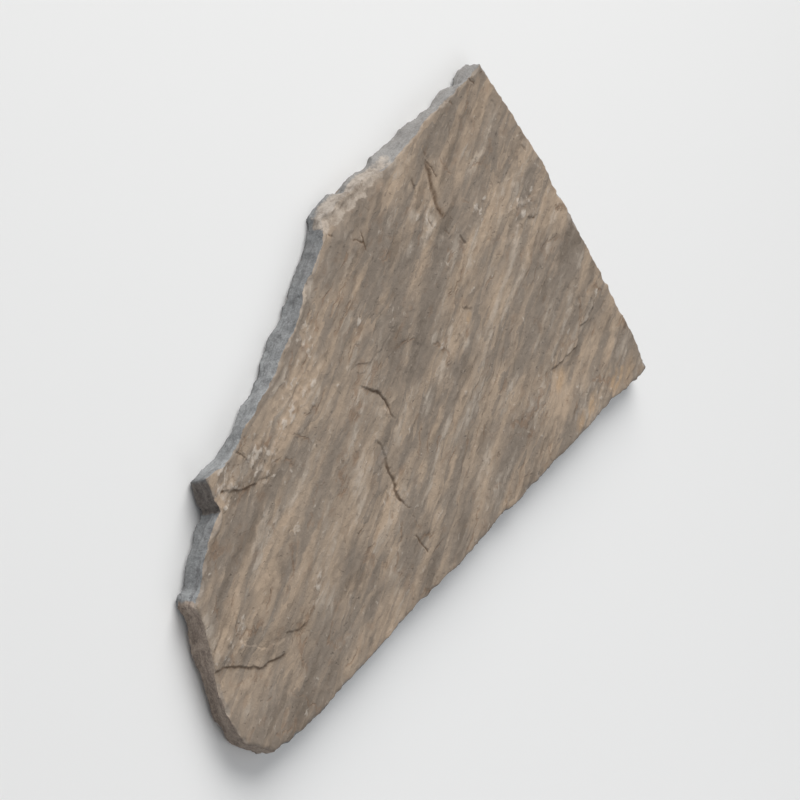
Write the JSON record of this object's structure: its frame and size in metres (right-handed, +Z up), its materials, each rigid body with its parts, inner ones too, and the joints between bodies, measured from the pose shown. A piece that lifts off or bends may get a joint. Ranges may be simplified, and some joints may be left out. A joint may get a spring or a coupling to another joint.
{
  "type": "sandstone flagstone",
  "caption": "Large irregular slab of riven sandstone with rough broken edges, lying flat on its underside with the cleft face up.",
  "frame": {"origin": "middle of the outline's bounding box, on the surface that the stone lies on", "axes": "+X along the slab's long way, towards its narrow heel; +Y towards its long straight edge; +Z up through the thickness, out of the cleft face"},
  "size_m": [1.3186, 0.7262, 0.0543],
  "materials": {
    "sandstone": "riven and matt, with freshly broken sides"
  },
  "bodies": {
    "root": {"flagstone": "sandstone"}
  },
  "joints": []
}
